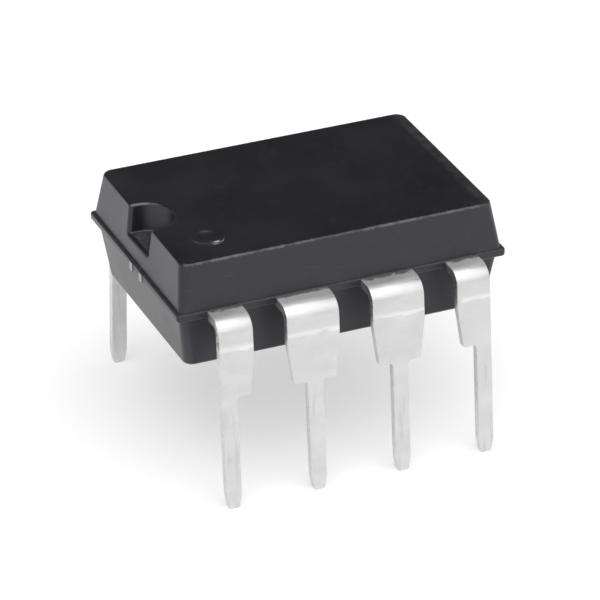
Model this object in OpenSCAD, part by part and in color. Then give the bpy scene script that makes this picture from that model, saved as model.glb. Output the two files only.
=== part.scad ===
// Eight-lead dual in-line chip: a moulded body round a stamped lead frame, a die and its bond wires.
// Millimetres. +X runs along the rows away from the notched end, +Z is up, and the lead tips stand on z = 0.
// Leads 1 to 4 are the row at -Y, counted away from the notch. Leads 5 to 8 come back along +Y.

/* [Moulded body] */
// Distance between neighbouring leads of a row
pitch = 2.54; // [2.4:0.01:2.8]
// From the centre of a row's last lead to the end of the body, at the parting plane
end_margin = 0.95; // [0.75:0.01:1.4]
// Width of the body at the parting plane
body_wid = 6.44; // [6.1:0.01:7.4]
// Height of the upper half, above the middle of the lead frame
upper_h = 1.505; // [1.4:0.005:2]
// Height of the lower half, below the middle of the lead frame
lower_h = 1.715; // [1:0.005:2.2]
// Draft of the upper half's long walls, in degrees
upper_draft = 3.8; // [1:0.1:8]
// Draft of the upper half's end walls, in degrees
upper_end_draft = 4.9; // [1:0.1:8]
// Draft of the lower half's walls, in degrees
lower_draft = 7.5; // [1:0.1:9]
// Radius of the upright corners at the parting plane
corner_r = 0.1; // [0.06:0.01:0.25]
// Radius of the upright corners at the top and bottom faces
face_corner_r = 0.3; // [0.1:0.01:0.4]
// Radius of the edge round the top face
top_edge_r = 0.09; // [0.04:0.01:0.12]
// Radius of the edge round the bottom face
bottom_edge_r = 0.14; // [0.04:0.01:0.2]
// How far the flange at the parting plane stands out of the long sides
side_flange = 0.2; // [0.1:0.01:0.3]
// How far the flange stands out of the two ends
end_flange = 0.145; // [0.1:0.005:0.3]
// Thickness of the flange
flange_t = 0.225; // [0.18:0.005:0.3]
// Thickness of the flange's resin over the lead frame
flange_skin = 0.025; // [0.015:0.005:0.06]
// Radius of the flange's corners
flange_corner_r = 0.12; // [0.08:0.01:0.3]
// Chamfer of the flange's edges
flange_chamfer = 0.05; // [0.02:0.01:0.07]

/* [Notch, dimple and ejector marks] */
// Radius of the notch at the top face
notch_r = 0.79; // [0.5:0.01:1]
// Distance of the notch's centre from the end of the top face
notch_inset = 0.17; // [0:0.01:0.4]
// Depth of the notch below the top face
notch_depth = 0.84; // [0.3:0.01:1]
// Draft of the notch's wall, in degrees
notch_draft = 3; // [0.5:0.5:8]
// Radius of the dimple beside lead 1
dimple_r = 0.47; // [0.3:0.01:0.6]
// Depth of the dimple
dimple_depth = 0.09; // [0.03:0.01:0.15]
// Distance of the dimple's centre from the notched end, at the parting plane
dimple_from_end = 1.39; // [1.2:0.01:2]
// Distance of the dimple's centre from the near side, at the parting plane
dimple_from_side = 1.36; // [1.1:0.01:1.5]
// Radius of the two ejector marks on the underside
ejector_r = 0.6; // [0.4:0.01:0.8]
// Depth of the ejector marks
ejector_depth = 0.05; // [0.02:0.01:0.1]
// Distance between the two ejector marks
ejector_space = 5.4; // [3:0.1:6]

/* [Leads] */
// Thickness of the sheet that the lead frame is stamped from
sheet_t = 0.25; // [0.2:0.005:0.28]
// Width of a lead's shoulder
shoulder_w = 1.54; // [1.2:0.01:1.8]
// Width of the blade at its foot, where it steps in to the pin
blade_foot_w = 1.25; // [0.9:0.01:1.5]
// Height over which the blade narrows to its foot
blade_taper_len = 1.2; // [0.6:0.05:1.4]
// Gap from the body's underside down to the foot of the blade
standoff = 0.43; // [0.3:0.01:0.7]
// Width of the pin
pin_w = 0.451; // [0.38:0.001:0.56]
// Length of the pin, from the foot of the blade to the tip
pin_len = 3.35; // [2.9:0.05:3.8]
// Width of the pin's flat tip
tip_w = 0.3; // [0.2:0.01:0.36]
// Height over which the pin narrows to its tip
tip_len = 0.42; // [0.2:0.01:0.8]
// Outward lean of the leads, in degrees
splay = 4.1; // [0:0.1:8]
// Flat stretch of the shoulder between the flange and the bend
shoulder_run = 0.37; // [0.2:0.01:0.6]
// Inner radius of the bend
bend_r = 0.2; // [0.1:0.01:0.35]
// Radius where the blade steps in to the pin
step_fillet_r = 0.12; // [0.05:0.01:0.2]
// Radius of the stamped corners
stamp_r = 0.05; // [0.02:0.01:0.08]

/* [Lead frame inside the body] */
// Depth to which the full shoulder runs into the body
anchor_depth = 0.45; // [0.3:0.01:0.6]
// Width of the inner fingers
finger_w = 0.6; // [0.4:0.01:0.7]
// Width of the bond pads at the ends of the fingers
bond_pad_w = 0.8; // [0.7:0.01:0.9]
// Length of the bond pads on the middle leads
bond_pad_len = 0.5; // [0.3:0.01:0.7]
// Gap between the fingers and the paddle or its tie bars
frame_gap = 0.3; // [0.2:0.01:0.35]
// Length of the die paddle
paddle_len = 3.2; // [2.6:0.05:3.6]
// Width of the die paddle
paddle_wid = 2.3; // [1.9:0.05:2.6]
// How far the paddle lies below the rest of the frame
paddle_drop = 0.2; // [0.05:0.01:0.3]
// Width of each of the two tie bars at an end of the paddle
tie_w = 0.2; // [0.12:0.01:0.25]
// Distance between the two tie bars, centre to centre
tie_space = 0.72; // [0.5:0.01:0.8]
// Place of the tie bars' middle across the body
tie_offset = -0.26; // [-0.3:0.01:0.3]
// Flat foot of a tie bar beside the paddle
tie_foot = 0.15; // [0.05:0.01:0.4]
// Length of the slope of a tie bar
tie_slope = 0.3; // [0.2:0.01:0.5]
// How far the sheared stubs of the tie bars stand out of the flange
tie_stub = 0.02; // [0.01:0.01:0.1]

/* [Die and bond wires] */
// Length of the die
die_len = 1.7; // [1.2:0.05:2.2]
// Width of the die
die_wid = 1.4; // [1:0.05:1.7]
// Thickness of the die
die_t = 0.28; // [0.2:0.01:0.4]
// Thickness of the adhesive under the die
attach_t = 0.03; // [0.02:0.005:0.06]
// How far the adhesive spreads past the die
attach_rim = 0.08; // [0.04:0.01:0.12]
// Diameter of the bond wires
wire_d = 0.04; // [0.03:0.005:0.05]
// Rise of a wire's loop above its ends
wire_rise = 0.3; // [0.15:0.01:0.4]
// Diameter of a wire's ball and stitch bonds
bond_d = 0.1; // [0.08:0.01:0.14]
// Thickness of a wire's ball and stitch bonds
bond_t = 0.02; // [0.01:0.005:0.03]
// Distance of the ball bonds from the edge of the die
bond_inset = 0.14; // [0.1:0.01:0.25]

/* [Hidden] */
leads_in_row = 4;

resin = [0.16, 0.16, 0.17];
tin = [0.84, 0.84, 0.83];
copper = [0.80, 0.52, 0.36];
silver_glue = [0.70, 0.70, 0.68];
silicon = [0.36, 0.38, 0.42];
gold = [0.90, 0.72, 0.32];

// Reach of a cutting shape past the face that it opens
past = 1;
// Depth to which one stretch of a stamped piece runs into the next
join = 0.1;
// Facets of a full circle, on edges that are cut or turned and on small fillets
smooth = 64;
fillet = 24;

// Heights, from the tips up
foot_z = pin_len;
bottom_z = foot_z + standoff;
frame_z = bottom_z + lower_h;
sheet_low = frame_z - sheet_t / 2;
sheet_high = frame_z + sheet_t / 2;
flange_high = sheet_high + flange_skin;
top_z = frame_z + upper_h;
notch_floor_z = top_z - notch_depth;
paddle_top = sheet_high - paddle_drop;
attach_top = paddle_top + attach_t;
die_top = attach_top + die_t;

// Plan sizes
body_len = (leads_in_row - 1) * pitch + 2 * end_margin;
flange_len = body_len + 2 * end_flange;
flange_wid = body_wid + 2 * side_flange;
top_len = body_len - 2 * upper_h * tan(upper_end_draft);
bend_y = flange_wid / 2 + shoulder_run;
anchor_y = body_wid / 2 - anchor_depth;

// Middle of the die's pads and of the fingers' bond pads, in the quarter at +X and +Y.
// The last lead of a row ends beside the paddle's end, and the other one beside its long side.
tie_reach = abs(tie_offset) + (tie_space + tie_w) / 2;
end_pad = [
    paddle_len / 2 + frame_gap + bond_pad_w / 2,
    tie_reach + frame_gap + bond_pad_w / 2
];
mid_pad = [pitch / 2, paddle_wid / 2 + frame_gap + bond_pad_len / 2];
end_ball = [die_len / 2 - bond_inset, die_wid / 4];
mid_ball = [die_len / 4, die_wid / 2 - bond_inset];

// Where lead i stands: the side along X, the side along Y, and whether it is the last of its row
function side_x(i) = i <= 2 || i >= 7 ? -1 : 1;
function side_y(i) = i <= leads_in_row ? -1 : 1;
function is_end(i) = i % leads_in_row <= 1;

// Moves a shape made in the quarter at +X and +Y to the quarter of lead i
module in_quarter(i) {
    mirror([side_x(i) < 0 ? 1 : 0, 0, 0])
        mirror([0, side_y(i) < 0 ? 1 : 0, 0])
            children();
}

// Flat outline with round corners, centred
module rounded_plan(len, wid, r) {
    square([len - 2 * r, wid], center = true);
    square([len, wid - 2 * r], center = true);
    for (x = [-1, 1], y = [-1, 1])
        translate([x * (len / 2 - r), y * (wid / 2 - r)])
            circle(r = r, $fn = fillet);
}

// One half of the moulding, from the parting plane at z = 0 up. Its walls lean in, its upright corners
// grow rounder towards its face, and the edge of the face is soft.
module drafted_half(h, draft, end_draft, edge_r) {
    slice = 0.001;
    turn = 22.5;
    hull() {
        linear_extrude(slice)
            rounded_plan(body_len, body_wid, corner_r);
        for (a = [0:turn:90]) {
            rise = h - edge_r + edge_r * sin(a);
            round_off = edge_r * (1 - cos(a));
            translate([0, 0, rise - slice])
                linear_extrude(slice)
                    rounded_plan(
                        body_len - 2 * (rise * tan(end_draft) + round_off),
                        body_wid - 2 * (rise * tan(draft) + round_off),
                        face_corner_r
                    );
        }
    }
}

// Thin plate of resin all round the parting plane, with chamfered edges.
// Its upper skin stops at the tie bars, so that their tops lie bare.
module flange() {
    difference() {
        translate([0, 0, flange_high - flange_t])
            hull() {
                translate([0, 0, flange_chamfer])
                    linear_extrude(flange_t - 2 * flange_chamfer)
                        rounded_plan(flange_len, flange_wid, flange_corner_r);
                linear_extrude(flange_t)
                    rounded_plan(
                        flange_len - 2 * flange_chamfer,
                        flange_wid - 2 * flange_chamfer,
                        flange_corner_r
                    );
            }
        for (side = [-1, 1])
            translate([-past - flange_len / 2, tie_offset + side * tie_space / 2 - tie_w / 2, sheet_high])
                cube([flange_len + 2 * past, tie_w, past]);
    }
}

// Cut for the notch: a drafted half-round wall with a straight mouth through the end of the body
module notch_cut() {
    low_r = notch_r - notch_depth * tan(notch_draft);
    high_r = notch_r + past * tan(notch_draft);
    h = notch_depth + past;
    mouth = end_margin + past;
    translate([-top_len / 2 + notch_inset, 0, notch_floor_z]) {
        cylinder(h = h, r1 = low_r, r2 = high_r, $fn = smooth);
        rotate([90, 0, -90])
            linear_extrude(mouth)
                polygon([[-low_r, 0], [low_r, 0], [high_r, h], [-high_r, h]]);
    }
}

// Cut for the dimple: a shallow round cap beside lead 1
module dimple_cut() {
    ball_r = (dimple_r * dimple_r + dimple_depth * dimple_depth) / (2 * dimple_depth);
    translate([
        -body_len / 2 + dimple_from_end,
        -body_wid / 2 + dimple_from_side,
        top_z - dimple_depth + ball_r
    ])
        sphere(r = ball_r, $fn = 2 * smooth);
}

// Cuts that the ejector pins leave on the underside
module ejector_cuts() {
    for (x = [-1, 1])
        translate([x * ejector_space / 2, 0, bottom_z - past])
            cylinder(h = past + ejector_depth, r = ejector_r, $fn = smooth);
}

module body() {
    color(resin)
        difference() {
            union() {
                translate([0, 0, frame_z])
                    drafted_half(upper_h, upper_draft, upper_end_draft, top_edge_r);
                translate([0, 0, frame_z])
                    mirror([0, 0, 1])
                        drafted_half(lower_h, lower_draft, lower_draft, bottom_edge_r);
                flange();
            }
            notch_cut();
            dimple_cut();
            ejector_cuts();
            for (i = [1:2 * leads_in_row]) {
                lead(i);
                bond_wire(i);
            }
            die_paddle();
            die_attach();
            die();
        }
}

// Side view of a lead outside its anchor, as [distance from the middle, height]:
// flat shoulder, bend and leaning leg
module lead_side_view() {
    bend_out = bend_r + sheet_t;
    bend_z = sheet_low - bend_r;
    leg = (bend_z + bend_out) / cos(splay) + past;
    translate([anchor_y, sheet_low])
        square([bend_y - anchor_y, sheet_t]);
    translate([bend_y, bend_z]) {
        intersection() {
            difference() {
                circle(r = bend_out, $fn = smooth);
                circle(r = bend_r, $fn = smooth);
            }
            polygon([
                [0, 0],
                [2 * bend_out * cos(splay), 2 * bend_out * sin(splay)],
                [2 * bend_out, 2 * bend_out],
                [0, 2 * bend_out]
            ]);
        }
        rotate(splay)
            translate([bend_r, -leg])
                square([sheet_t, leg]);
    }
}

// Front view of a lead as [x from the pin's centre, height]. The shoulder reaches left and right of it.
module lead_front_view(left, right) {
    narrow = (shoulder_w - blade_foot_w) / 2;
    foot_left = left > pin_w / 2 ? left - narrow : left;
    foot_right = right > pin_w / 2 ? right - narrow : right;
    wide_z = foot_z + blade_taper_len;
    high = sheet_high + past;
    offset(r = stamp_r, $fn = fillet)
        offset(delta = -stamp_r)
            offset(r = -step_fillet_r, $fn = fillet)
                offset(delta = step_fillet_r)
                    polygon([
                        [-tip_w / 2, 0],
                        [tip_w / 2, 0],
                        [pin_w / 2, tip_len],
                        [pin_w / 2, foot_z],
                        [foot_right, foot_z],
                        [right, wide_z],
                        [right, high],
                        [-left, high],
                        [-left, wide_z],
                        [-foot_left, foot_z],
                        [-pin_w / 2, foot_z],
                        [-pin_w / 2, tip_len]
                    ]);
}

// Straight strip of width w between two points of the plan, with round ends
module strip(from, to, w) {
    run = to - from;
    translate(from)
        rotate(atan2(run.y, run.x))
            translate([0, -w / 2])
                square([norm(run), w]);
    for (p = [from, to])
        translate(p)
            circle(d = w, $fn = smooth);
}

// A stamped and bent lead in the quarter at +X and +Y
module quarter_lead(is_end) {
    x = is_end ? (leads_in_row - 1) / 2 * pitch : pitch / 2;
    inner = shoulder_w / 2;
    outer = is_end ? pin_w / 2 : shoulder_w / 2;
    reach = flange_wid + 2 * past;
    translate([x, 0, 0])
        intersection() {
            translate([-inner, 0, 0])
                rotate([90, 0, 90])
                    linear_extrude(inner + outer)
                        lead_side_view();
            translate([0, reach, 0])
                rotate([90, 0, 0])
                    linear_extrude(reach)
                        lead_front_view(inner, outer);
        }
    translate([0, 0, sheet_low])
        linear_extrude(sheet_t)
            quarter_finger(is_end, x + (outer - inner) / 2);
}

// Plan of a lead's inner finger, from its anchor at x to its bond pad
module quarter_finger(is_end, x) {
    if (is_end) {
        strip([x, anchor_y + finger_w / 2], end_pad, finger_w);
        translate(end_pad)
            circle(d = bond_pad_w, $fn = smooth);
    } else {
        tip_y = mid_pad.y - bond_pad_len / 2;
        translate([x - finger_w / 2, tip_y])
            square([finger_w, anchor_y + join - tip_y]);
        translate([x - bond_pad_w / 2, tip_y])
            square([bond_pad_w, bond_pad_len]);
    }
}

module lead(i) {
    color(tin)
        in_quarter(i)
            quarter_lead(is_end(i));
}

// Side view of a tie bar as [x, height]: foot at the paddle, slope, and run to the end of the body
module tie_side_view() {
    start_x = paddle_len / 2 - join;
    foot_x = paddle_len / 2 + tie_foot;
    high_x = foot_x + tie_slope;
    end_x = flange_len / 2 + tie_stub;
    polygon([
        [start_x, paddle_top - sheet_t],
        [foot_x, paddle_top - sheet_t],
        [high_x, sheet_low],
        [end_x, sheet_low],
        [end_x, sheet_high],
        [high_x, sheet_high],
        [foot_x, paddle_top],
        [start_x, paddle_top]
    ]);
}

// The paddle that carries the die, with two tie bars at each end
module die_paddle() {
    color(copper) {
        translate([-paddle_len / 2, -paddle_wid / 2, paddle_top - sheet_t])
            cube([paddle_len, paddle_wid, sheet_t]);
        for (end = [0, 1], side = [-1, 1])
            mirror([end, 0, 0])
                translate([0, tie_offset + side * tie_space / 2 + tie_w / 2, 0])
                    rotate([90, 0, 0])
                        linear_extrude(tie_w)
                            tie_side_view();
    }
}

module die_attach() {
    color(silver_glue)
        translate([0, 0, paddle_top])
            linear_extrude(attach_t)
                rounded_plan(die_len + 2 * attach_rim, die_wid + 2 * attach_rim, attach_rim);
}

module die() {
    color(silicon)
        translate([-die_len / 2, -die_wid / 2, attach_top])
            cube([die_len, die_wid, die_t]);
}

// Tube of radius r that follows a half-ellipse over the plan run, from height z0 to height z1.
// It leaves and lands upright.
module wire_loop(run, z0, z1, r) {
    sides = 8;
    steps = 12;
    along = run / norm(run);
    across = [-along.y, along.x, 0];
    rings = [
        for (k = [0:steps])
            let (
                a = 180 * k / steps,
                go = (1 - cos(a)) / 2,
                centre = [run.x * go, run.y * go, z0 + (z1 - z0) * go + wire_rise * sin(a)],
                ahead = norm(run) / 2 * sin(a),
                climb = (z1 - z0) / 2 * sin(a) + wire_rise * cos(a),
                slope = atan2(climb, ahead),
                up = [-along.x * sin(slope), -along.y * sin(slope), cos(slope)]
            )
            for (s = [0:sides - 1])
                let (t = 360 * s / sides)
                centre + r * cos(t) * across + r * sin(t) * up
    ];
    last = steps * sides;
    faces = concat(
        [[for (s = [0:sides - 1]) s]],
        [
            for (k = [0:steps - 1], s = [0:sides - 1])
                let (n = (s + 1) % sides)
                [k * sides + s, (k + 1) * sides + s, (k + 1) * sides + n, k * sides + n]
        ],
        [[for (s = [sides - 1:-1:0]) last + s]]
    );
    polyhedron(points = rings, faces = faces, convexity = 4);
}

// Ball bond on the die, loop, and stitch bond on the finger
module bond_wire(i) {
    ball = is_end(i) ? end_ball : mid_ball;
    pad = is_end(i) ? end_pad : mid_pad;
    color(gold)
        in_quarter(i) {
            translate([ball.x, ball.y, die_top])
                cylinder(h = bond_t, d = bond_d, $fn = fillet);
            translate([pad.x, pad.y, sheet_high])
                cylinder(h = bond_t, d = bond_d, $fn = fillet);
            translate([ball.x, ball.y, 0])
                wire_loop(pad - ball, die_top + bond_t / 2, sheet_high + bond_t / 2, wire_d / 2);
        }
}

body();
for (i = [1:2 * leads_in_row]) {
    lead(i);
    bond_wire(i);
}
die_paddle();
die_attach();
die();
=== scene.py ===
import math

import bmesh
import bpy
from mathutils import Matrix, Vector


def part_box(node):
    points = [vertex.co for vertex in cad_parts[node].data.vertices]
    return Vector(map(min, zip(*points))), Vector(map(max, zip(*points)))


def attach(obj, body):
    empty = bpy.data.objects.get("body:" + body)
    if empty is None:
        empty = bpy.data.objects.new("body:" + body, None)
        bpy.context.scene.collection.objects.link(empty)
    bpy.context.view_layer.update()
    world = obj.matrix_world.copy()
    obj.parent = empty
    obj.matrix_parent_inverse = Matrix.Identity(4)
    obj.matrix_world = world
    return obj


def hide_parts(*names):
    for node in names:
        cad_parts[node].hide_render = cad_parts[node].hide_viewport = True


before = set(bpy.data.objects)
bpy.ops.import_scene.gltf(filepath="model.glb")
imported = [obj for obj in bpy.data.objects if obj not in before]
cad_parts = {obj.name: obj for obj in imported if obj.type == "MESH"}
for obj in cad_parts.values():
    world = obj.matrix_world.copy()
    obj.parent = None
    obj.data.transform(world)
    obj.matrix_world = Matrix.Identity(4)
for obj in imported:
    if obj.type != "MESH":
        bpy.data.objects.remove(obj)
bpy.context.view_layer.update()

# The chip: a moulded resin body on eight tin-plated leads. Shapes are worked in
# millimetres and turned into metres as each piece is finished. +X runs along the
# rows, away from the notch, and +Z is up.
MM = 0.001


def box_mm(node):
    """Lowest and highest corner of a node of the frame, in millimetres."""
    low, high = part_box(node)
    return Vector(low) / MM, Vector(high) / MM


# Levels and extents that the frame gives
body_low, body_high = box_mm("body")
TOP_Z = body_high.z
BOTTOM_Z = body_low.z
SHEET_HIGH = box_mm("lead_7")[1].z
FLANGE_X = body_high.x
FLANGE_Y = body_high.y

# Lead frame: half widths, levels above the lead tips, and distances from the middle
PITCH = 2.54
SHEET = 0.25
SHEET_LOW = SHEET_HIGH - SHEET
FRAME_Z = SHEET_HIGH - SHEET / 2
SHOULDER_HALF = 0.77
BLADE_FOOT_HALF = 0.625
PIN_HALF = 0.2255
TIP_HALF = 0.15
LEG_TOP_Z = 5.1
BLADE_TOP_Z = 4.55
BLADE_FOOT_Z = 3.35
TIP_TAPER_Z = 0.42
SPLAY = math.radians(4.1)
SHOULDER_END_Y = 3.79
BEND_R = 0.2
ANCHOR_Y = 2.77
BLADE_FOOT_R = 0.05
STEP_FILLET_R = 0.12
TIP_CORNER_R = 0.04
LEAD_EDGE_R = 0.018

# Inner fingers: the middle leads' pads lie straight behind, the end leads' fingers turn
FINGER_HALF = 0.3
PAD_HALF = 0.4
PAD_START_Y = 1.95
PAD_END_Y = 1.45
END_PAD_AT = Vector((2.3, 1.42, 0.0))
RUN_BEFORE_TURN = 0.3
PAD_ROUNDNESS = 0.98

# Walls and flange of the moulding
SIDE_FLANGE = 0.2
END_FLANGE = 0.145
FLANGE_SKIN = 0.025
FLANGE_T = 0.225
FLANGE_TOP_R = 0.05
FLANGE_FOOT_R = 0.06
FLANGE_HIGH = SHEET_HIGH + FLANGE_SKIN
FLANGE_LOW = FLANGE_HIGH - FLANGE_T
WALL_X = FLANGE_X - END_FLANGE
WALL_Y = FLANGE_Y - SIDE_FLANGE
# Width of the ledge that the flange shows above, at the sides and at the ends
SIDE_LEDGE = 0.07
END_LEDGE = 0.095
UPPER_DRAFT = math.radians(3.8)
UPPER_END_DRAFT = math.radians(4.9)
LOWER_DRAFT = math.radians(7.5)
CORNER_R = 0.16
FACE_CORNER_R = 0.3
FLANGE_CORNER_R = 0.12
TOP_EDGE_R = 0.06
BOTTOM_EDGE_R = 0.14

# Notch, dimple and ejector marks
NOTCH_R = 0.79
NOTCH_DEPTH = 0.84
NOTCH_DRAFT = math.radians(3.0)
NOTCH_X = -4.46
NOTCH_FOOT_R = 0.05
MOUTH_R = 0.12
DIMPLE_R = 0.46
DIMPLE_DEPTH = 0.09
DIMPLE_RIM_R = 0.015
DIMPLE_AT = (-3.37, -1.86)
EJECTOR_R = 0.6
EJECTOR_DEPTH = 0.05
EJECTOR_X = 2.7

# How far a cutting shape runs past the face that it opens, how close points have to
# be to become one, and how close a point has to be to count as on a plane or a level
PAST = 1.0
WELD = 1e-5
LEAD_WELD = 1e-4
ON_PLANE = 1e-4
ON_LEVEL = 1e-3

# Angles in radians above which an edge is drawn sharp, is a seam between two forms,
# or is rounded, on the body and on a lead
SHARP_ANGLE = math.radians(35)
SEAM_ANGLE = 0.5
BODY_EDGE_ANGLE = 0.25
LEAD_EDGE_ANGLE = 0.7

# Places of the materials in the body's list and in a lead's
MOULDED, POLISHED, RUBBED_HIGHLIT, DUSTY = range(4)
PLATED, SHEARED = range(2)


def verts_in(made):
    """The corners among the parts that a step made."""
    return [g for g in made if isinstance(g, bmesh.types.BMVert)]


def faces_in(made):
    """The faces among the parts that a step made."""
    return [g for g in made if isinstance(g, bmesh.types.BMFace)]


def mesh_of(bm, name):
    """Writes a bmesh into a new mesh and frees it."""
    mesh = bpy.data.meshes.new(name)
    bm.to_mesh(mesh)
    bm.free()
    return mesh


def settled(obj):
    """The object's mesh with its modifiers applied, as a new bmesh."""
    depsgraph = bpy.context.evaluated_depsgraph_get()
    mesh = bpy.data.meshes.new_from_object(obj.evaluated_get(depsgraph))
    bm = bmesh.new()
    bm.from_mesh(mesh)
    bpy.data.meshes.remove(mesh)
    return bm


def carve(bm, cutter):
    """Cuts one closed bmesh out of another and returns what is left."""
    solid = bpy.data.objects.new("carved", mesh_of(bm, "carved"))
    tool = bpy.data.objects.new("cutter", mesh_of(cutter, "cutter"))
    for obj in (solid, tool):
        bpy.context.scene.collection.objects.link(obj)
    cut = solid.modifiers.new("cut", "BOOLEAN")
    cut.operation = "DIFFERENCE"
    cut.solver = "EXACT"
    cut.object = tool
    result = settled(solid)
    for obj in (solid, tool):
        mesh = obj.data
        bpy.data.objects.remove(obj)
        bpy.data.meshes.remove(mesh)
    bmesh.ops.remove_doubles(result, verts=result.verts, dist=WELD)
    return result


def finish_piece(name, bm, materials, stands_for):
    """Turns a bmesh in millimetres into a named piece, smooth between its sharp edges."""
    bmesh.ops.scale(bm, vec=(MM, MM, MM), verts=bm.verts)
    for face in bm.faces:
        face.smooth = True
    for edge in bm.edges:
        if creased(edge, SHARP_ANGLE):
            edge.smooth = False
    obj = bpy.data.objects.new(name, mesh_of(bm, name))
    bpy.context.scene.collection.objects.link(obj)
    for material in materials:
        obj.data.materials.append(material)
    weigh = obj.modifiers.new("even normals", "WEIGHTED_NORMAL")
    weigh.mode = "FACE_AREA"
    weigh.weight = 90
    weigh.keep_sharp = True
    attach(obj, "root")
    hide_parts(*stands_for)
    return obj


# Materials

# Colours, single or as the two that a cloudy finish goes between
PLAIN_RESIN = (0.0132, 0.0122, 0.0162), (0.0088, 0.0080, 0.0112)
SCUFFED_RESIN = (0.021, 0.020, 0.024), (0.027, 0.026, 0.030)
# Paler rim resin: partly wear, partly a painted highlight along the rim
WORN_HIGHLIT_RESIN = (0.022, 0.020, 0.026), (0.088, 0.085, 0.095)
DUSTY_RESIN = (0.018, 0.0168, 0.0210), (0.048, 0.046, 0.053)
POLISHED_RESIN = (0.0095, 0.0088, 0.0118), (0.0135, 0.0126, 0.0164)
# Paler resin for a margin at the end of the top away from the notch
PALE_MARGIN_RESIN = (0.040, 0.038, 0.044)
SATIN_TIN = (0.58, 0.58, 0.58), (0.66, 0.66, 0.655)
TORN_TIN = (0.60, 0.60, 0.60), (0.72, 0.72, 0.715)
SPOTTED_TIN = (0.26, 0.26, 0.26), (0.72, 0.72, 0.71)
# Lighter tin for the tool mark's band, a painted highlight
HIGHLIGHT_TIN = (0.80, 0.80, 0.795)
DULL_TIN = (0.50, 0.50, 0.50)
STAINED_TIN = (0.16, 0.158, 0.165)
BARE_ALLOY = (0.36, 0.36, 0.37)
ROLLED_ALLOY = (0.31, 0.31, 0.32), (0.40, 0.40, 0.41)
SILVER_FLAKE = (0.38, 0.37, 0.35), (0.66, 0.65, 0.62)
CIRCUIT = (0.10, 0.11, 0.15), (0.20, 0.21, 0.25)
DRAWN_GOLD = (0.85, 0.58, 0.20), (0.95, 0.70, 0.32)
PALE_FLOOR = (0.62, 0.62, 0.62), (0.64, 0.64, 0.64)
RESIN_GLOSS = (0.94, 0.91, 1.0, 1.0)
WHITE = (1.0, 1.0, 1.0, 1.0)

# Where wear, stains, the pale end margin and the tool mark's painted highlight begin and end,
# in millimetres: along X, up Z, and out from the middle for the resin that leaks over the
# shoulders
PALE_END_X = 4.22, 4.40
PALE_TOP_Z = TOP_Z - 0.12, TOP_Z - 0.02
DULL_SHOULDER_Z = 5.58, 5.615
RUBBED_PIN_Z = 2.6, 3.3
TOOL_MARK_LOW_Z = 4.72, 4.81
TOOL_MARK_HIGH_Z = 4.83, 4.93
SPOTTED_EDGE_Z = 4.3, 5.1
HELD_Y = FLANGE_Y - 0.08, FLANGE_Y - 0.03
BLEED_Y = FLANGE_Y, FLANGE_Y + 0.28


def fresh_material(name):
    """A new material with its shader and a set of Object coordinates."""
    material = bpy.data.materials.new(name)
    material.use_nodes = True
    nodes = material.node_tree.nodes
    shader = nodes["Principled BSDF"]
    coords = nodes.new("ShaderNodeTexCoord")
    return material, nodes, material.node_tree.links, shader, coords.outputs["Object"]


def noise(nodes, links, place, size_mm, detail=3.0, roughness=0.5, stretch=(1.0, 1.0, 1.0)):
    """Noise whose features are about size_mm across. Stretch makes them longer along an axis."""
    mapping = nodes.new("ShaderNodeMapping")
    mapping.inputs["Scale"].default_value = [1.0 / (size_mm * MM * s) for s in stretch]
    links.new(place, mapping.inputs["Vector"])
    texture = nodes.new("ShaderNodeTexNoise")
    texture.inputs["Scale"].default_value = 1.0
    texture.inputs["Detail"].default_value = detail
    texture.inputs["Roughness"].default_value = roughness
    links.new(mapping.outputs["Vector"], texture.inputs["Vector"])
    return texture.outputs["Fac"]


def spread(nodes, links, value, low, high, start=0.3, end=0.7):
    """Spreads a noise value between two numbers."""
    node = nodes.new("ShaderNodeMapRange")
    node.inputs["From Min"].default_value = start
    node.inputs["From Max"].default_value = end
    node.inputs["To Min"].default_value = low
    node.inputs["To Max"].default_value = high
    links.new(value, node.inputs["Value"])
    return node.outputs["Result"]


def band(nodes, links, value, start, end, low=0.0, high=1.0):
    """Goes softly from low to high while a value goes from start to end."""
    node = nodes.new("ShaderNodeMapRange")
    node.interpolation_type = "SMOOTHSTEP"
    node.inputs["From Min"].default_value = start
    node.inputs["From Max"].default_value = end
    node.inputs["To Min"].default_value = low
    node.inputs["To Max"].default_value = high
    links.new(value, node.inputs["Value"])
    return node.outputs["Result"]


def band_mm(nodes, links, value, limits, low=0.0, high=1.0):
    """Goes softly from low to high while a place crosses two limits in millimetres."""
    start, end = limits
    return band(nodes, links, value, start * MM, end * MM, low, high)


def tint(nodes, links, value, colours, start=0.3, end=0.7):
    """Turns a noise value into a colour between two."""
    ramp = nodes.new("ShaderNodeValToRGB")
    for element, place, colour in zip(ramp.color_ramp.elements, (start, end), colours):
        element.position = place
        element.color = (*colour, 1.0)
    links.new(value, ramp.inputs["Fac"])
    return ramp.outputs["Color"]


def mixed(nodes, links, factor, first, second):
    """Goes from one colour to another, or to a plain one, as a factor goes from 0 to 1."""
    node = nodes.new("ShaderNodeMix")
    node.data_type = "RGBA"
    sockets = {socket.identifier: socket for socket in node.inputs}
    links.new(factor, sockets["Factor_Float"])
    links.new(first, sockets["A_Color"])
    if isinstance(second, tuple):
        sockets["B_Color"].default_value = (*second, 1.0)
    else:
        links.new(second, sockets["B_Color"])
    return next(socket for socket in node.outputs if socket.identifier == "Result_Color")


def combined(nodes, links, operation, first, second):
    """The sum, product or greater of two values, of which the second can be a number."""
    node = nodes.new("ShaderNodeMath")
    node.operation = operation
    links.new(first, node.inputs[0])
    if isinstance(second, float):
        node.inputs[1].default_value = second
    else:
        links.new(second, node.inputs[1])
    return node.outputs["Value"]


def axes_of(nodes, links, place):
    """The X, Y and Z of a place."""
    split = nodes.new("ShaderNodeSeparateXYZ")
    links.new(place, split.inputs["Vector"])
    return split.outputs


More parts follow.
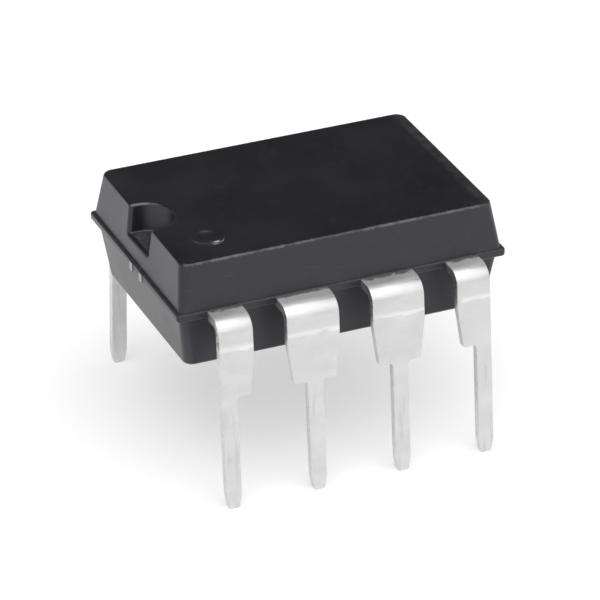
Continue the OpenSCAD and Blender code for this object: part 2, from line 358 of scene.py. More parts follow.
def roughen(nodes, links, shader, height, depth_mm, strength=1.0, under=None):
    """Adds relief of the given depth to a shader, over other relief if there is some."""
    bump = nodes.new("ShaderNodeBump")
    bump.inputs["Distance"].default_value = depth_mm * MM
    bump.inputs["Strength"].default_value = strength
    links.new(height, bump.inputs["Height"])
    if under is not None:
        links.new(under, bump.inputs["Normal"])
    links.new(bump.outputs["Normal"], shader.inputs["Normal"])
    return bump.outputs["Normal"]


def set_resin_gloss(shader):
    """The resin's own gloss, which is a little cool."""
    shader.inputs["IOR"].default_value = 1.55
    shader.inputs["Specular Tint"].default_value = RESIN_GLOSS


def mould_resin():
    """Black resin with the fine spark-eroded grain of its mould and a few scuffs."""
    material, nodes, links, shader, place = fresh_material("mould_resin")
    cloud = noise(nodes, links, place, 1.6, detail=4.0)
    grain = noise(nodes, links, place, 0.05, detail=4.0, roughness=0.65)
    scuff = noise(nodes, links, place, 0.07, detail=2.0, roughness=0.5, stretch=(5.0, 5.0, 1.0))
    plain = tint(nodes, links, cloud, PLAIN_RESIN)
    scuffed = tint(nodes, links, cloud, SCUFFED_RESIN)
    few = spread(nodes, links, scuff, 0.0, 0.7, 0.62, 0.74)
    marked = mixed(nodes, links, few, plain, scuffed)
    margin = pale_end_margin(nodes, links, place)
    with_pale_margin = mixed(nodes, links, margin, marked, PALE_MARGIN_RESIN)
    links.new(with_pale_margin, shader.inputs["Base Color"])
    links.new(spread(nodes, links, cloud, 0.37, 0.29), shader.inputs["Roughness"])
    set_resin_gloss(shader)
    roughen(nodes, links, shader, grain, 0.006, 0.7)
    return material


def pale_end_margin(nodes, links, place):
    """A paler margin along the end of the top that is away from the notch."""
    axes = axes_of(nodes, links, place)
    at_end = band_mm(nodes, links, axes["X"], PALE_END_X)
    on_top = band_mm(nodes, links, axes["Z"], PALE_TOP_Z)
    patch = noise(nodes, links, place, 0.35, detail=4.0, roughness=0.6)
    strip = combined(nodes, links, "MULTIPLY", at_end, on_top)
    patchy = spread(nodes, links, patch, 0.15, 1.0, 0.38, 0.62)
    return combined(nodes, links, "MULTIPLY", strip, patchy)


def rubbed_highlit_resin():
    """The same resin along the rim of the top, rubbed lighter in places, its paler colour partly a
    painted highlight.
    """
    material, nodes, links, shader, place = fresh_material("rubbed_highlit_resin")
    wear = noise(nodes, links, place, 0.3, detail=4.0, roughness=0.6)
    grain = noise(nodes, links, place, 0.05, detail=4.0, roughness=0.65)
    links.new(tint(nodes, links, wear, WORN_HIGHLIT_RESIN, 0.40, 0.64), shader.inputs["Base Color"])
    links.new(spread(nodes, links, wear, 0.20, 0.34), shader.inputs["Roughness"])
    set_resin_gloss(shader)
    roughen(nodes, links, shader, grain, 0.004, 0.6)
    return material


def flash_resin():
    """The same resin in the flange, where the mould halves met, rough and dusty."""
    material, nodes, links, shader, place = fresh_material("flash_resin")
    crumbs = noise(nodes, links, place, 0.1, detail=3.0, roughness=0.5)
    links.new(tint(nodes, links, crumbs, DUSTY_RESIN, 0.42, 0.70), shader.inputs["Base Color"])
    links.new(spread(nodes, links, crumbs, 0.66, 0.54), shader.inputs["Roughness"])
    set_resin_gloss(shader)
    roughen(nodes, links, shader, crumbs, 0.015, 0.8)
    return material


def polished_resin():
    """The same resin where a polished pin shaped it, in the dimple."""
    material, nodes, links, shader, place = fresh_material("polished_resin")
    cloud = noise(nodes, links, place, 0.4, detail=3.0)
    links.new(tint(nodes, links, cloud, POLISHED_RESIN), shader.inputs["Base Color"])
    links.new(spread(nodes, links, cloud, 0.27, 0.33), shader.inputs["Roughness"])
    set_resin_gloss(shader)
    shader.inputs["Coat Weight"].default_value = 1.0
    shader.inputs["Coat Roughness"].default_value = 0.1
    roughen(nodes, links, shader, cloud, 0.004, 0.4)
    return material


def tin_plate():
    """Satin tin plate, cloudy and a little streaked along the leads."""
    material, nodes, links, shader, place = fresh_material("tin_plate")
    cloud = noise(nodes, links, place, 0.7, detail=4.0, roughness=0.6, stretch=(1.6, 1.0, 0.7))
    streak = noise(nodes, links, place, 0.06, detail=3.0, roughness=0.6, stretch=(1.0, 1.0, 8.0))
    shader.inputs["Metallic"].default_value = 1.0
    plain = tint(nodes, links, cloud, SATIN_TIN)
    # The tool mark's band is painted lighter, a painted highlight
    mark_highlit = mixed(nodes, links, tool_mark_highlight(nodes, links, place, cloud), plain, HIGHLIGHT_TIN)
    rubbed = mixed(nodes, links, die_rub(nodes, links, place), mark_highlit, DULL_TIN)
    stained = mixed(nodes, links, resin_bleed(nodes, links, place), rubbed, STAINED_TIN)
    links.new(bare_in_resin(nodes, links, place, stained), shader.inputs["Base Color"])
    links.new(duller_above(nodes, links, place, cloud), shader.inputs["Roughness"])
    wide = roughen(nodes, links, shader, cloud, 0.04, 0.6)
    roughen(nodes, links, shader, streak, 0.0015, 0.6, under=wide)
    return material


def duller_above(nodes, links, place, cloud):
    """Roughness of the plate: cloudy, and duller on the shoulders, which no tool rubbed."""
    height = axes_of(nodes, links, place)["Z"]
    on_shoulder = band_mm(nodes, links, height, DULL_SHOULDER_Z, 0.0, 0.24)
    cloudy = spread(nodes, links, cloud, 0.34, 0.46)
    return combined(nodes, links, "ADD", cloudy, on_shoulder)


def die_rub(nodes, links, place):
    """A few long dull streaks down the pins, where the forming die rubbed them."""
    height = axes_of(nodes, links, place)["Z"]
    on_pin = band_mm(nodes, links, height, RUBBED_PIN_Z, 1.0, 0.0)
    streak = noise(nodes, links, place, 0.13, detail=2.0, roughness=0.4, stretch=(1.0, 1.0, 9.0))
    few = spread(nodes, links, streak, 0.0, 0.6, 0.54, 0.70)
    return combined(nodes, links, "MULTIPLY", on_pin, few)


def from_middle(nodes, links, place):
    """Distance of a place from the plane midway between the two rows."""
    distance = nodes.new("ShaderNodeMath")
    distance.operation = "ABSOLUTE"
    links.new(axes_of(nodes, links, place)["Y"], distance.inputs[0])
    return distance.outputs["Value"]


def bare_in_resin(nodes, links, place, plated):
    """The colour of a lead, which was plated after moulding and is bare in the resin."""
    held = band_mm(nodes, links, from_middle(nodes, links, place), HELD_Y, 1.0, 0.0)
    return mixed(nodes, links, held, plated, BARE_ALLOY)


def resin_bleed(nodes, links, place):
    """Ragged stain of resin on each shoulder, close to the body."""
    close = band_mm(nodes, links, from_middle(nodes, links, place), BLEED_Y, 1.0, 0.0)
    ragged = noise(nodes, links, place, 0.2, detail=3.0, roughness=0.6, stretch=(1.6, 1.0, 1.0))
    reach = combined(nodes, links, "ADD", close, spread(nodes, links, ragged, -0.5, 0.4))
    return band(nodes, links, reach, 0.45, 0.95, 0.0, 0.85)


def tool_mark_highlight(nodes, links, place, cloud):
    """A faint broken band across each blade, where the bending tool pressed it, painted lighter as
    a highlight.
    """
    height = axes_of(nodes, links, place)["Z"]
    wobble = spread(nodes, links, cloud, -0.09 * MM, 0.09 * MM)
    wander = combined(nodes, links, "ADD", height, wobble)
    below = band_mm(nodes, links, wander, TOOL_MARK_LOW_Z)
    above = band_mm(nodes, links, wander, TOOL_MARK_HIGH_Z, 1.0, 0.0)
    line = combined(nodes, links, "MULTIPLY", below, above)
    broken = spread(nodes, links, cloud, 0.2, 0.9, 0.35, 0.6)
    return combined(nodes, links, "MULTIPLY", line, broken)


def sheared_edge():
    """Tin plate over the edges that the stamping left, rough and spotted near the bend."""
    material, nodes, links, shader, place = fresh_material("sheared_edge")
    blotch = noise(nodes, links, place, 0.16, detail=4.0, roughness=0.65)
    torn = noise(nodes, links, place, 0.05, detail=3.0, roughness=0.6, stretch=(1.0, 4.0, 1.0))
    near_bend = band_mm(nodes, links, axes_of(nodes, links, place)["Z"], SPOTTED_EDGE_Z)
    plain = tint(nodes, links, blotch, TORN_TIN)
    spotted = tint(nodes, links, blotch, SPOTTED_TIN, 0.40, 0.56)
    plated = mixed(nodes, links, near_bend, plain, spotted)
    shader.inputs["Metallic"].default_value = 1.0
    links.new(bare_in_resin(nodes, links, place, plated), shader.inputs["Base Color"])
    links.new(spread(nodes, links, blotch, 0.48, 0.34), shader.inputs["Roughness"])
    roughen(nodes, links, shader, torn, 0.006, 0.6)
    return material


def frame_alloy():
    """Rolled sheet of the die paddle, bare where its tie bars are sheared off."""
    material, nodes, links, shader, place = fresh_material("frame_alloy")
    roll = noise(nodes, links, place, 0.05, detail=3.0, stretch=(10.0, 1.0, 1.0))
    shader.inputs["Metallic"].default_value = 1.0
    links.new(tint(nodes, links, roll, ROLLED_ALLOY), shader.inputs["Base Color"])
    links.new(spread(nodes, links, roll, 0.36, 0.44), shader.inputs["Roughness"])
    roughen(nodes, links, shader, roll, 0.0008, 0.6)
    return material


def silver_adhesive():
    """Cured resin full of silver flake."""
    material, nodes, links, shader, place = fresh_material("silver_adhesive")
    flake = noise(nodes, links, place, 0.02, detail=4.0, roughness=0.7)
    shader.inputs["Metallic"].default_value = 0.6
    links.new(tint(nodes, links, flake, SILVER_FLAKE), shader.inputs["Base Color"])
    links.new(spread(nodes, links, flake, 0.45, 0.65), shader.inputs["Roughness"])
    roughen(nodes, links, shader, flake, 0.004, 0.8)
    return material


def silicon():
    """Polished silicon with faint blocks of circuit."""
    material, nodes, links, shader, place = fresh_material("silicon")
    mapping = nodes.new("ShaderNodeMapping")
    mapping.inputs["Scale"].default_value = [1.0 / (0.12 * MM)] * 3
    links.new(place, mapping.inputs["Vector"])
    cells = nodes.new("ShaderNodeTexVoronoi")
    cells.distance = "CHEBYCHEV"
    cells.inputs["Scale"].default_value = 1.0
    links.new(mapping.outputs["Vector"], cells.inputs["Vector"])
    blocks = cells.outputs["Distance"]
    links.new(tint(nodes, links, blocks, CIRCUIT), shader.inputs["Base Color"])
    shader.inputs["Metallic"].default_value = 0.8
    links.new(spread(nodes, links, blocks, 0.12, 0.25), shader.inputs["Roughness"])
    return material


def gold_wire():
    """Drawn gold."""
    material, nodes, links, shader, place = fresh_material("gold_wire")
    drawn = noise(nodes, links, place, 0.02, detail=2.0)
    shader.inputs["Metallic"].default_value = 1.0
    links.new(tint(nodes, links, drawn, DRAWN_GOLD), shader.inputs["Base Color"])
    links.new(spread(nodes, links, drawn, 0.18, 0.30), shader.inputs["Roughness"])
    return material


# The moulded body


def flat_outline(bm, half_x, half_y, corner, z):
    """Adds a flat face with round corners."""
    made = bmesh.ops.create_grid(bm, x_segments=1, y_segments=1, size=1.0)
    verts = made["verts"]
    reach = max(v.co.x for v in verts)
    bmesh.ops.scale(bm, vec=(half_x / reach, half_y / reach, 1.0), verts=verts)
    bmesh.ops.translate(bm, vec=(0.0, 0.0, z), verts=verts)
    before = set(bm.faces) - set(verts[0].link_faces)
    bmesh.ops.bevel(
        bm, geom=verts, offset=corner, segments=10, profile=0.5, affect="VERTICES", material=-1
    )
    return next(f for f in bm.faces if f not in before)


def wall_at(z):
    """Half sizes and corner radius of the drafted walls at height z."""
    if z < FRAME_Z:
        rise, full = FRAME_Z - z, FRAME_Z - BOTTOM_Z - BOTTOM_EDGE_R
        half_x, half_y = (wall - rise * math.tan(LOWER_DRAFT) for wall in (WALL_X, WALL_Y))
    else:
        # The top keeps its size. The foot leaves a narrow ledge on the flange
        rise, full = z - FRAME_Z, TOP_Z - FRAME_Z - TOP_EDGE_R
        top_x = WALL_X - (TOP_Z - FRAME_Z) * math.tan(UPPER_END_DRAFT)
        top_y = WALL_Y - (TOP_Z - FRAME_Z) * math.tan(UPPER_DRAFT)
        share = (TOP_Z - z) / (TOP_Z - FLANGE_HIGH)
        half_x = top_x + (FLANGE_X - END_LEDGE - top_x) * share
        half_y = top_y + (FLANGE_Y - SIDE_LEDGE - top_y) * share
    corner = CORNER_R + (FACE_CORNER_R - CORNER_R) * min(1.0, rise / full)
    return (half_x, half_y, corner, z)


def flange_levels(edge_z, inward, radius, steps=5):
    """Outlines that round one edge of the flange, from its flat face to its rim."""
    levels = []
    for step in range(steps + 1):
        turn = math.pi / 2 * step / steps
        inset = radius * (1.0 - math.sin(turn))
        z = edge_z + inward * radius * (1.0 - math.cos(turn))
        levels.append((FLANGE_X - inset, FLANGE_Y - inset, FLANGE_CORNER_R - inset, z))
    return levels


def plain_moulding():
    """The body with its flange and drafted walls, before anything is cut from it."""
    bm = bmesh.new()
    levels = [
        wall_at(BOTTOM_Z),
        wall_at(FLANGE_LOW),
        *flange_levels(FLANGE_LOW, 1.0, FLANGE_FOOT_R),
        *reversed(flange_levels(FLANGE_HIGH, -1.0, FLANGE_TOP_R)),
        wall_at(FLANGE_HIGH),
        wall_at(TOP_Z),
    ]
    # The outlines are bridged one millimetre apart, so that none lie in one plane, and
    # then take their levels
    outlines = [flat_outline(bm, *level[:3], float(place)) for place, level in enumerate(levels)]
    rims = [list(face.edges) for face in outlines]
    corners = [list(face.verts) for face in outlines]
    bmesh.ops.delete(bm, geom=outlines[1:-1], context="FACES_ONLY")
    for lower, upper in zip(rims, rims[1:]):
        bmesh.ops.bridge_loops(bm, edges=lower + upper)
    for place, (level, verts) in enumerate(zip(levels, corners)):
        bmesh.ops.translate(bm, vec=(0.0, 0.0, level[3] - place), verts=verts)
    bmesh.ops.recalc_face_normals(bm, faces=bm.faces)
    return bm


def creased(edge, least=SEAM_ANGLE):
    """Whether an edge is a corner between two faces, not a seam in a flat or smooth one."""
    return len(edge.link_faces) == 2 and edge.calc_face_angle(0.0) > least


def add_notch(bm):
    """Puts the half-round shape that cuts the notch, with its mouth, into an empty bmesh."""
    low_r = NOTCH_R - NOTCH_DEPTH * math.tan(NOTCH_DRAFT)
    height = NOTCH_DEPTH + PAST
    grow = (low_r + height * math.tan(NOTCH_DRAFT)) / low_r
    bmesh.ops.create_circle(bm, cap_ends=True, segments=96, radius=low_r)
    bmesh.ops.bisect_plane(
        bm,
        geom=[*bm.verts, *bm.edges, *bm.faces],
        dist=WELD,
        plane_co=(0.0, 0.0, 0.0),
        plane_no=(1.0, 0.0, 0.0),
        clear_inner=True,
    )
    mouth = [e for e in bm.edges if all(abs(v.co.x) < ON_PLANE for v in e.verts)]
    out = bmesh.ops.extrude_edge_only(bm, edges=mouth)["geom"]
    bmesh.ops.translate(bm, vec=(-PAST, 0.0, 0.0), verts=verts_in(out))
    floor = list(bm.faces)
    raised = bmesh.ops.extrude_face_region(bm, geom=floor)["geom"]
    bmesh.ops.translate(bm, vec=(0.0, 0.0, height), verts=verts_in(raised))
    bmesh.ops.scale(bm, vec=(grow, grow, 1.0), verts=verts_in(raised))
    bmesh.ops.recalc_face_normals(bm, faces=bm.faces)
    low = [e for e in bm.edges if all(abs(v.co.z) < ON_PLANE for v in e.verts)]
    foot = [e for e in low if creased(e)]
    bmesh.ops.bevel(
        bm, geom=foot, offset=NOTCH_FOOT_R, segments=3, profile=0.5, affect="EDGES", material=-1
    )
    bmesh.ops.translate(bm, vec=(NOTCH_X, 0.0, TOP_Z - NOTCH_DEPTH), verts=bm.verts)


def add_dimple(bm):
    """Adds the ball whose cap cuts the dimple."""
    ball_r = (DIMPLE_R ** 2 + DIMPLE_DEPTH ** 2) / (2 * DIMPLE_DEPTH)
    made = bmesh.ops.create_uvsphere(bm, u_segments=96, v_segments=96, radius=ball_r)
    centre = (DIMPLE_AT[0], DIMPLE_AT[1], TOP_Z - DIMPLE_DEPTH + ball_r)
    bmesh.ops.translate(bm, vec=centre, verts=made["verts"])


def add_ejector_mark(bm, x):
    """Adds the round that cuts one shallow ejector mark."""
    made = bmesh.ops.create_cone(
        bm,
        cap_ends=True,
        segments=64,
        radius1=EJECTOR_R,
        radius2=EJECTOR_R,
        depth=2 * EJECTOR_DEPTH,
    )
    bmesh.ops.translate(bm, vec=(x, 0.0, BOTTOM_Z), verts=made["verts"])


def near_dimple(co):
    """Whether a place lies in the dimple or on its rim."""
    margin = 0.06
    return (co.xy - Vector(DIMPLE_AT)).length < DIMPLE_R + margin


def round_edges(bm, chosen, radius, segments, clamp=True):
    """Rounds the edges that a test picks and returns the new faces."""
    edges = [e for e in bm.edges if creased(e, BODY_EDGE_ANGLE) and chosen(e)]
    return bmesh.ops.bevel(
        bm,
        geom=edges,
        offset=radius,
        segments=segments,
        profile=0.5,
        affect="EDGES",
        material=-1,
        clamp_overlap=clamp,
    )["faces"]


def at_level(edge, z):
    """Whether an edge lies flat at height z."""
    return all(abs(v.co.z - z) < ON_LEVEL for v in edge.verts)


def on_notch_floor(face):
    """Whether a face is the flat floor of the notch, as rough as the flange."""
    rise = face.calc_center_median().z - (TOP_Z - NOTCH_DEPTH)
    return abs(rise) < ON_LEVEL and face.normal.z > 0.9


def on_flange_top(face):
    """Whether a face is the flange's flat top, or the part of its edge that looks up."""
    centre = face.calc_center_median()
    in_flange = FLANGE_LOW - ON_LEVEL < centre.z < FLANGE_HIGH + ON_LEVEL
    return in_flange and face.normal.z > 0.8


def in_dimple(face):
    """Whether a face is the hollow of the dimple."""
    centre = face.calc_center_median()
    sunk = TOP_Z - 2 * DIMPLE_DEPTH < centre.z < TOP_Z - ON_LEVEL
    return near_dimple(centre) and sunk


def on_mouth(edge):
    """Whether an edge lies where the notch opens through the end wall."""
    margin, slack = 0.1, 0.02
    middle = (edge.verts[0].co + edge.verts[1].co) / 2
    in_wall = abs(middle.x + wall_at(middle.z)[0]) < slack
    in_width = abs(middle.y) < NOTCH_R + margin
    return in_wall and in_width and middle.z > TOP_Z - NOTCH_DEPTH - margin


def on_top_rim(edge):
    """Whether an edge goes round the top, the notch with it."""
    return at_level(edge, TOP_Z) and not near_dimple(edge.verts[0].co)


def is_rubbed_or_highlit(face):
    """Whether a face of the top's rim gets the paler resin, partly wear and partly a painted
    highlight: the long sides and one side of the notch, the one that looks to the front.
    """
    centre = face.calc_center_median()
    along_side = abs(centre.y) > NOTCH_R + 2 * TOP_EDGE_R
    return abs(face.normal.y) > abs(face.normal.x) and (along_side or centre.y > 0.0)


def on_dimple_rim(edge):
    """Whether an edge goes round the dimple."""
    return at_level(edge, TOP_Z) and near_dimple(edge.verts[0].co)


def on_bottom_rim(edge):
    """Whether an edge goes round the underside, and not round an ejector mark."""
    place = edge.verts[0].co.xy
    past_marks = place.length > EJECTOR_X + 2 * EJECTOR_R or abs(place.y) > 2 * EJECTOR_R
    return at_level(edge, BOTTOM_Z) and past_marks


def body_piece(resin, polished, rubbed, flash):
    """The moulded body with its notch, dimple and rounded edges."""
    cutter = bmesh.new()
    add_notch(cutter)
    add_dimple(cutter)
    for x in (-EJECTOR_X, EJECTOR_X):
        add_ejector_mark(cutter, x)
    bmesh.ops.recalc_face_normals(cutter, faces=cutter.faces)
    bm = carve(plain_moulding(), cutter)
    round_edges(bm, on_mouth, MOUTH_R, 5, clamp=False)
    rim = round_edges(bm, on_top_rim, TOP_EDGE_R, 5)
    # The rims of the long sides and of one side of the notch take the paler resin, a painted
    # highlight as well as wear
    for face in rim:
        face.material_index = RUBBED_HIGHLIT if is_rubbed_or_highlit(face) else MOULDED
    round_edges(bm, on_bottom_rim, BOTTOM_EDGE_R, 6)
    round_edges(bm, on_dimple_rim, DIMPLE_RIM_R, 2)
    for face in bm.faces:
        if in_dimple(face):
            face.material_index = POLISHED
        elif on_notch_floor(face) or on_flange_top(face):
            face.material_index = DUSTY
    return finish_piece("moulded_body", bm, [resin, polished, rubbed, flash], ["body"])


# The leads


def extrude_end(bm, face, keep=False):
    """Extrudes an end face and returns the new end face with its corners."""
    made = bmesh.ops.extrude_face_region(bm, geom=[face])["geom"]
    end = faces_in(made)[0]
    if not keep:
        bmesh.ops.delete(bm, geom=[face], context="FACES_ONLY")
    return end, list(end.verts)


def bent_shoulder(bm, x, outer):
    """The shoulder, from its anchor in the resin round the bend. Returns its two end faces."""
    corners = [
        (x - SHOULDER_HALF, ANCHOR_Y, SHEET_LOW),
        (x + outer, ANCHOR_Y, SHEET_LOW),
        (x + outer, ANCHOR_Y, SHEET_HIGH),
        (x - SHOULDER_HALF, ANCHOR_Y, SHEET_HIGH),
    ]
    anchor = bm.faces.new([bm.verts.new(c) for c in corners])
    end, verts = extrude_end(bm, anchor, keep=True)
    bmesh.ops.translate(bm, vec=(0.0, SHOULDER_END_Y - ANCHOR_Y, 0.0), verts=verts)
    spun = bmesh.ops.spin(
        bm,
        geom=[end] + list(end.edges) + verts,
        cent=(0.0, SHOULDER_END_Y, SHEET_LOW - BEND_R),
        axis=(1.0, 0.0, 0.0),
        angle=-(math.pi / 2 - SPLAY),
        steps=24,
        use_merge=False,
    )["geom_last"]
    return anchor, faces_in(spun)[0]


def leg_outline(x, is_end):
    """Corners of the leg from the front as (x, z, radius), from its outer top to its inner one."""
    blade = [
        (SHOULDER_HALF, LEG_TOP_Z, 0.0),
        (SHOULDER_HALF, BLADE_TOP_Z, 0.0),
        (BLADE_FOOT_HALF, BLADE_FOOT_Z, BLADE_FOOT_R),
        (PIN_HALF, BLADE_FOOT_Z, STEP_FILLET_R),
    ]
    tip = [(PIN_HALF, TIP_TAPER_Z, 0.0), (TIP_HALF, 0.0, TIP_CORNER_R)]
    outward = ([(PIN_HALF, LEG_TOP_Z, 0.0)] if is_end else blade) + tip
    inward = reversed(blade + tip)
    return [(x + w, z, r) for w, z, r in outward] + [(x - w, z, r) for w, z, r in inward]


def stamped_leg(bm, x, is_end):
    """The leg below the bend: its flat outline with round corners, as thick as the sheet."""
    bend_z = SHEET_LOW - BEND_R + (BEND_R + SHEET) * math.sin(SPLAY)
    bend_y = SHOULDER_END_Y + (BEND_R + SHEET) * math.cos(SPLAY)
    corners = leg_outline(x, is_end)
    verts = [bm.verts.new((u, bend_y + (bend_z - z) * math.tan(SPLAY), z)) for u, z, r in corners]
    bm.faces.new(verts)
    for radius in sorted({r for u, z, r in corners if r}):
        chosen = [v for v, (u, z, r) in zip(verts, corners) if r == radius]
        bmesh.ops.bevel(
            bm, geom=chosen, offset=radius, segments=6, profile=0.5, affect="VERTICES", material=-1
        )
    front = next(f for f in bm.faces if len(f.verts) > 4)
    verts = extrude_end(bm, front, keep=True)[1]
    bmesh.ops.translate(bm, vec=(0.0, -SHEET / math.cos(SPLAY), 0.0), verts=verts)


def lead_bmesh(is_end):
    """A stamped and bent lead in the quarter at +X and +Y, and the face at its anchor."""
    bm = bmesh.new()
    x = 1.5 * PITCH if is_end else 0.5 * PITCH
    anchor, bend_end = bent_shoulder(bm, x, PIN_HALF if is_end else SHOULDER_HALF)
    stamped_leg(bm, x, is_end)
    leg_top = next(f for f in bm.faces if all(at_level(e, LEG_TOP_Z) for e in f.edges))
    rims = list(bend_end.edges) + list(leg_top.edges)
    bmesh.ops.delete(bm, geom=[bend_end, leg_top], context="FACES_ONLY")
    bmesh.ops.bridge_loops(bm, edges=rims)
    return bm, anchor


def add_finger(bm, start, is_end):
    """Draws the inner finger out of the anchor's end face, to its bond pad."""
    end, verts = extrude_end(bm, start)
    x = sum(v.co.x for v in verts) / 4
    narrow(verts, x, FINGER_HALF)
    if is_end:
        add_turned_finger(bm, end, x)
        return
    for y, half in ((PAD_START_Y, FINGER_HALF), (PAD_START_Y, PAD_HALF), (PAD_END_Y, PAD_HALF)):
        end, verts = extrude_end(bm, end)
        for v in verts:
            v.co.y = y
        narrow(verts, x, half)


def narrow(verts, x, half):
    """Sets a section's half width about x."""
    for v in verts:
        v.co.x = x + (half if v.co.x > x else -half)


def add_turned_finger(bm, end, x):
    """The finger of an end lead, which turns towards the die and ends in a round pad."""
    along = (END_PAD_AT - Vector((x, ANCHOR_Y, 0.0))).normalized()
    turn = Matrix.Rotation(math.atan2(along.x, -along.y), 3, "Z")
    end, verts = extrude_end(bm, end)
    bmesh.ops.translate(bm, vec=along * RUN_BEFORE_TURN, verts=verts)
    bmesh.ops.rotate(bm, cent=end.calc_center_median(), matrix=turn, verts=verts)
    end, verts = extrude_end(bm, end)
    reach = END_PAD_AT - end.calc_center_median()
    bmesh.ops.translate(bm, vec=Vector((reach.x, reach.y, 0.0)), verts=verts)
    widen(verts, along, PAD_HALF / FINGER_HALF)
    end, verts = extrude_end(bm, end)
    bmesh.ops.translate(bm, vec=along * PAD_HALF, verts=verts)
    posts = [e for e in end.edges if abs(e.verts[0].co.z - e.verts[1].co.z) > SHEET / 2]
    bmesh.ops.bevel(
        bm,
        geom=posts,
        offset=PAD_HALF * PAD_ROUNDNESS,
        segments=8,
        profile=0.5,
        affect="EDGES",
        material=-1,
    )


def widen(verts, along, factor):
    """Widens a section across the direction in which its finger runs."""
    centre = sum((v.co for v in verts), Vector()) / len(verts)
    across = Vector((-along.y, along.x, 0.0))
    for v in verts:
        v.co += across * ((v.co - centre).dot(across) * (factor - 1.0))


def outside_resin(edge):
    """Whether an edge of a lead lies outside its anchor, where its corners are softened."""
    margin = 0.1
    return all(abs(v.co.y) > ANCHOR_Y + margin for v in edge.verts)


def quarter_of(number):
    """The signs that turn a lead from the quarter at +X and +Y into its own."""
    at_notch = number <= 2 or number >= 7
    return Vector((-1.0 if at_notch else 1.0, -1.0 if number <= 4 else 1.0, 1.0))


def is_sheared(face):
    """Whether a face of a lead is a side that the stamping left, below the shoulder."""
    return abs(face.normal.x) > 0.6 and face.calc_center_median().z < SHEET_LOW


def lead_piece(number, plate, sheared):
    """Lead number 1 to 8, turned into its own quarter. 1, 4, 5 and 8 are the end leads."""
    is_end = number % 4 <= 1
    bm, anchor = lead_bmesh(is_end)
    add_finger(bm, anchor, is_end)
    bmesh.ops.scale(bm, vec=quarter_of(number), verts=bm.verts)
    bmesh.ops.remove_doubles(bm, verts=bm.verts, dist=LEAD_WELD)
    bmesh.ops.recalc_face_normals(bm, faces=bm.faces)
    for face in bm.faces:
        face.material_index = SHEARED if is_sheared(face) else PLATED
    corners = [e for e in bm.edges if creased(e, LEAD_EDGE_ANGLE) and outside_resin(e)]
    bmesh.ops.bevel(
        bm, geom=corners, offset=LEAD_EDGE_R, segments=2, profile=0.5, affect="EDGES", material=-1
    )
    name = f"tinned_lead_{number}"
    return finish_piece(name, bm, [plate, sheared], [f"lead_{number}"])


def dress(node, material):
    """Gives a node of the frame a better material and leaves its mesh alone."""
    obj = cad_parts[node]
    for mat_slot in obj.material_slots:
        mat_slot.link = "OBJECT"
        mat_slot.material = material


# Floor, light and camera

FLOOR_R = 3.0
FLOOR_Z = -0.00001
FLOOR_LIFT = 0.47

# Directions from which light comes. The soft light fills a broad round in front and
# above. Low down, a pale band goes round the horizon and is dimmer at the back.
SOFT_LIGHT = (0.05, -0.70, 0.71)
BACK = (0.36, 0.93, 0.0)
KEY_LIGHT = (-0.15, -0.35, 1.0)
LOW_BACK_LIGHT = (0.217, 0.945, 0.245)


def make_floor():
    """A wide pale floor, just below the lead tips."""
    bm = bmesh.new()
    bmesh.ops.create_circle(bm, cap_ends=True, segments=96, radius=FLOOR_R)
    bmesh.ops.translate(bm, vec=(0.0, 0.0, FLOOR_Z), verts=bm.verts)
    obj = bpy.data.objects.new("floor", mesh_of(bm, "floor"))
    bpy.context.scene.collection.objects.link(obj)
    material, nodes, links, shader, place = fresh_material("pale_floor")
    shade = noise(nodes, links, place, 40.0, detail=2.0)
    links.new(tint(nodes, links, shade, PALE_FLOOR), shader.inputs["Base Color"])
    shader.inputs["Roughness"].default_value = 0.9
    shader.inputs["Specular IOR Level"].default_value = 0.1
    seen_in(nodes, links, shader, FLOOR_LIFT)
    obj.data.materials.append(material)


def seen_in(nodes, links, shader, strength):
    """Lifts the floor to white for the camera, and in gloss and glass, with its shadow kept."""
    path = nodes.new("ShaderNodeLightPath").outputs
    seen = path["Is Camera Ray"]
    for ray in ("Is Glossy Ray", "Is Transmission Ray"):
        seen = combined(nodes, links, "MAXIMUM", seen, path[ray])
    lift = combined(nodes, links, "MULTIPLY", seen, strength)
    shader.inputs["Emission Color"].default_value = WHITE
    links.new(lift, shader.inputs["Emission Strength"])


def make_sun(name, strength, direction, spread_deg):
    """A wide soft sun that shines from a direction."""
    lamp = bpy.data.lights.new(name, "SUN")
    lamp.energy = strength
    lamp.angle = math.radians(spread_deg)
    obj = bpy.data.objects.new(name, lamp)
    obj.rotation_euler = Vector(direction).to_track_quat("Z", "Y").to_euler()
    bpy.context.scene.collection.objects.link(obj)


def towards(nodes, links, view, direction):
    """How closely a view goes in a direction, 1 where it points straight there."""
    node = nodes.new("ShaderNodeVectorMath")
    node.operation = "DOT_PRODUCT"
    node.inputs[1].default_value = direction
    links.new(view, node.inputs[0])
    return node.outputs["Value"]


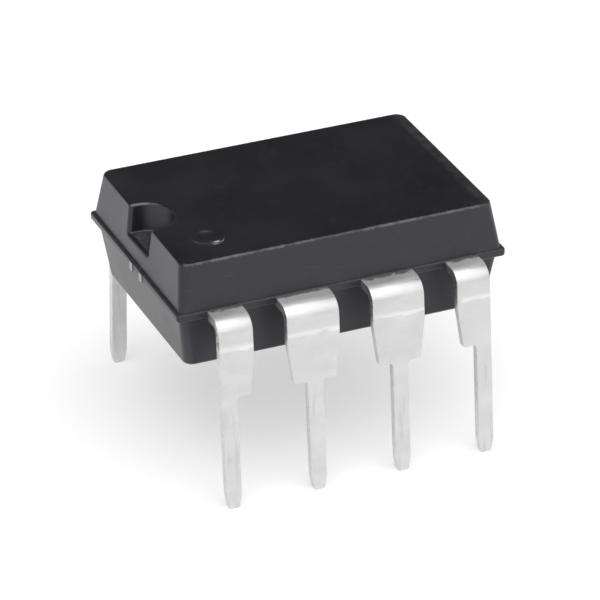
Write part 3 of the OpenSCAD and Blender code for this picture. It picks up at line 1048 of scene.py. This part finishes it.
def make_world():
    """A studio with a broad soft light, a dim back and a pale band at the horizon."""
    world = bpy.data.worlds.new("studio")
    world.use_nodes = True
    bpy.context.scene.world = world
    nodes, links = world.node_tree.nodes, world.node_tree.links
    view = nodes.new("ShaderNodeTexCoord").outputs["Generated"]
    height = axes_of(nodes, links, view)["Z"]
    in_light = band(nodes, links, towards(nodes, links, view, SOFT_LIGHT), 0.30, 0.62, 0.05, 1.5)
    above = band(nodes, links, height, 0.16, 0.34)
    soft_light = combined(nodes, links, "MULTIPLY", in_light, above)
    low_down = band(nodes, links, height, 0.14, 0.30, 0.95, 0.0)
    not_behind = band(nodes, links, towards(nodes, links, view, BACK), 0.70, 0.90, 1.0, 0.2)
    horizon = combined(nodes, links, "MULTIPLY", low_down, not_behind)
    brightest = combined(nodes, links, "MAXIMUM", soft_light, horizon)
    links.new(brightest, nodes["Background"].inputs["Strength"])
    nodes["Background"].inputs["Color"].default_value = WHITE


def make_camera():
    """The camera at the photograph's place, worked out from the chip's straight edges."""
    photo_px = 600.0
    focal_px = 4304.856
    sensor_mm = 36.0
    place = Vector((-0.04084874, -0.09892553, 0.06160348))
    right = Vector((0.92180690, -0.38751704, -0.01012838))
    down = Vector((-0.19337118, -0.43702320, -0.87841807))
    forward = right.cross(down)
    data = bpy.data.cameras.new("camera")
    data.sensor_fit = "HORIZONTAL"
    data.sensor_width = sensor_mm
    data.lens = focal_px / photo_px * sensor_mm
    data.clip_start = 0.01
    data.clip_end = 20.0
    obj = bpy.data.objects.new("camera", data)
    turn = Matrix((right, -down, -forward)).transposed().to_4x4()
    obj.matrix_world = Matrix.Translation(place) @ turn
    bpy.context.scene.collection.objects.link(obj)
    bpy.context.scene.camera = obj


def make_studio():
    """Floor, world and two suns."""
    make_floor()
    make_world()
    make_sun("key_light", 0.6, KEY_LIGHT, 50.0)
    make_sun("low_back_light", 0.03, LOW_BACK_LIGHT, 6.0)
    bpy.context.scene.view_settings.view_transform = "Standard"


make_camera()
make_studio()

plate = tin_plate()
sheared = sheared_edge()
body_piece(mould_resin(), polished_resin(), rubbed_highlit_resin(), flash_resin())
for number in range(1, 9):
    lead_piece(number, plate, sheared)

dress("die_paddle", frame_alloy())
dress("die_attach", silver_adhesive())
dress("die", silicon())
gold = gold_wire()
for number in range(1, 9):
    dress(f"bond_wire_{number}", gold)
